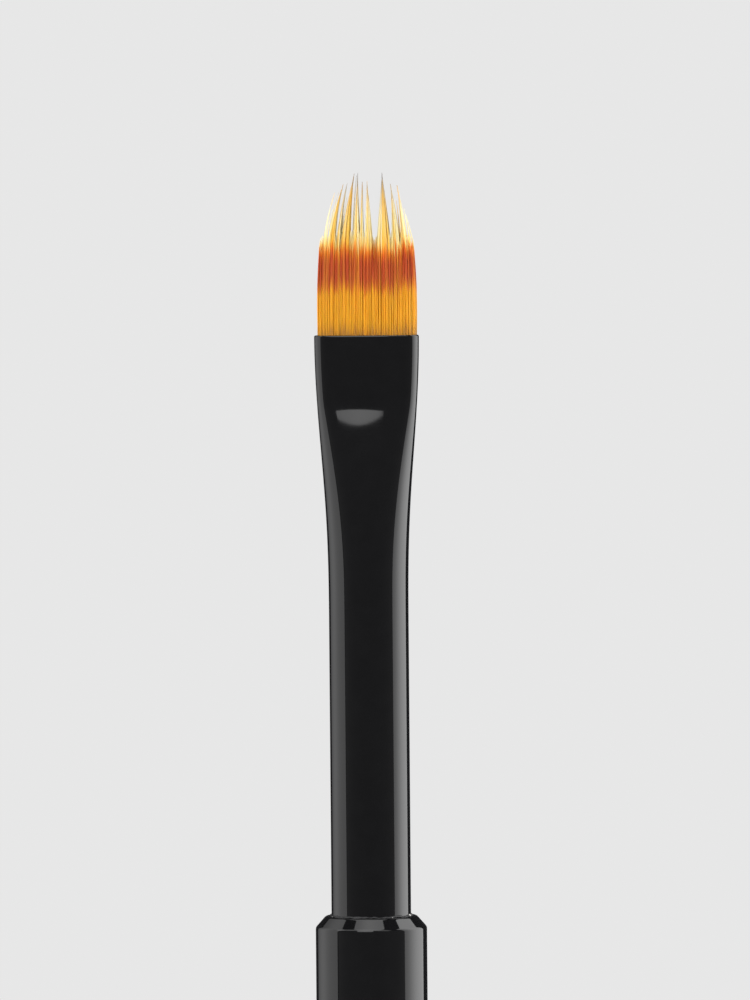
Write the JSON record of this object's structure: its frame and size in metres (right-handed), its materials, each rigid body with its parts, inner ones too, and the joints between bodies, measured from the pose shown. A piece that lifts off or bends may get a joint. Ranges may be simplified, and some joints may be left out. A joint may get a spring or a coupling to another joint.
{
  "type": "acrylic nail brush",
  "caption": "Flat nail-art brush for gel and acrylic: black lacquered tube handle, crimped flat ferrule and a springy dyed tuft thinned into pointed comb locks.",
  "frame": {"origin": "centre of the flat face at the tail end of the handle", "axes": "+Z along the brush from tail to hair tips, +X across the width of the flat tuft, -Y out of the pictured flat face"},
  "size_m": [0.007, 0.007, 0.1767],
  "materials": {
    "handle_lacquer": "gloss black lacquer on an aluminium tube",
    "plug_lacquer": "gloss black lacquer on a turned aluminium plug",
    "ferrule_lacquer": "gloss black lacquer on a drawn and crimped tube",
    "bond_adhesive": "cured clear-black adhesive, glossy bead",
    "root_epoxy": "cured amber epoxy, sealed inside the ferrule",
    "binding_thread": "tight twisted polyester thread",
    "root_filament": "glossy amber synthetic filament",
    "long_filament": "glossy amber synthetic filament, red-brown dyed band, pale pointed ends",
    "short_filament": "glossy amber synthetic filament, red-brown dyed ends"
  },
  "bodies": {
    "handle": {"handle_tube": "handle_lacquer", "tail_plug": "plug_lacquer", "ferrule": "ferrule_lacquer", "ferrule_bond": "bond_adhesive", "root_epoxy": "root_epoxy", "binding_thread": "binding_thread", "hair_root": "root_filament"},
    "tuft": {"long_lock_01": "long_filament", "long_lock_02": "long_filament", "long_lock_03": "long_filament", "long_lock_04": "long_filament", "long_lock_05": "long_filament", "long_lock_06": "long_filament", "long_lock_07": "long_filament", "long_lock_08": "long_filament", "long_lock_09": "long_filament", "long_lock_10": "long_filament", "long_lock_11": "long_filament", "short_lock_01": "short_filament", "short_lock_02": "short_filament", "short_lock_03": "short_filament", "short_lock_04": "short_filament", "short_lock_05": "short_filament", "short_lock_06": "short_filament", "short_lock_07": "short_filament", "short_lock_08": "short_filament", "short_lock_09": "short_filament", "short_lock_10": "short_filament"}
  },
  "joints": [
    {"name": "tuft_flex", "type": "hinge", "parent": "handle", "child": "tuft", "pos_m": [0, 0, 0.1671], "axis": [1, 0, 0], "range_deg": [-40, 40], "stiffness_Nm_per_rad": 0.001}
  ]
}
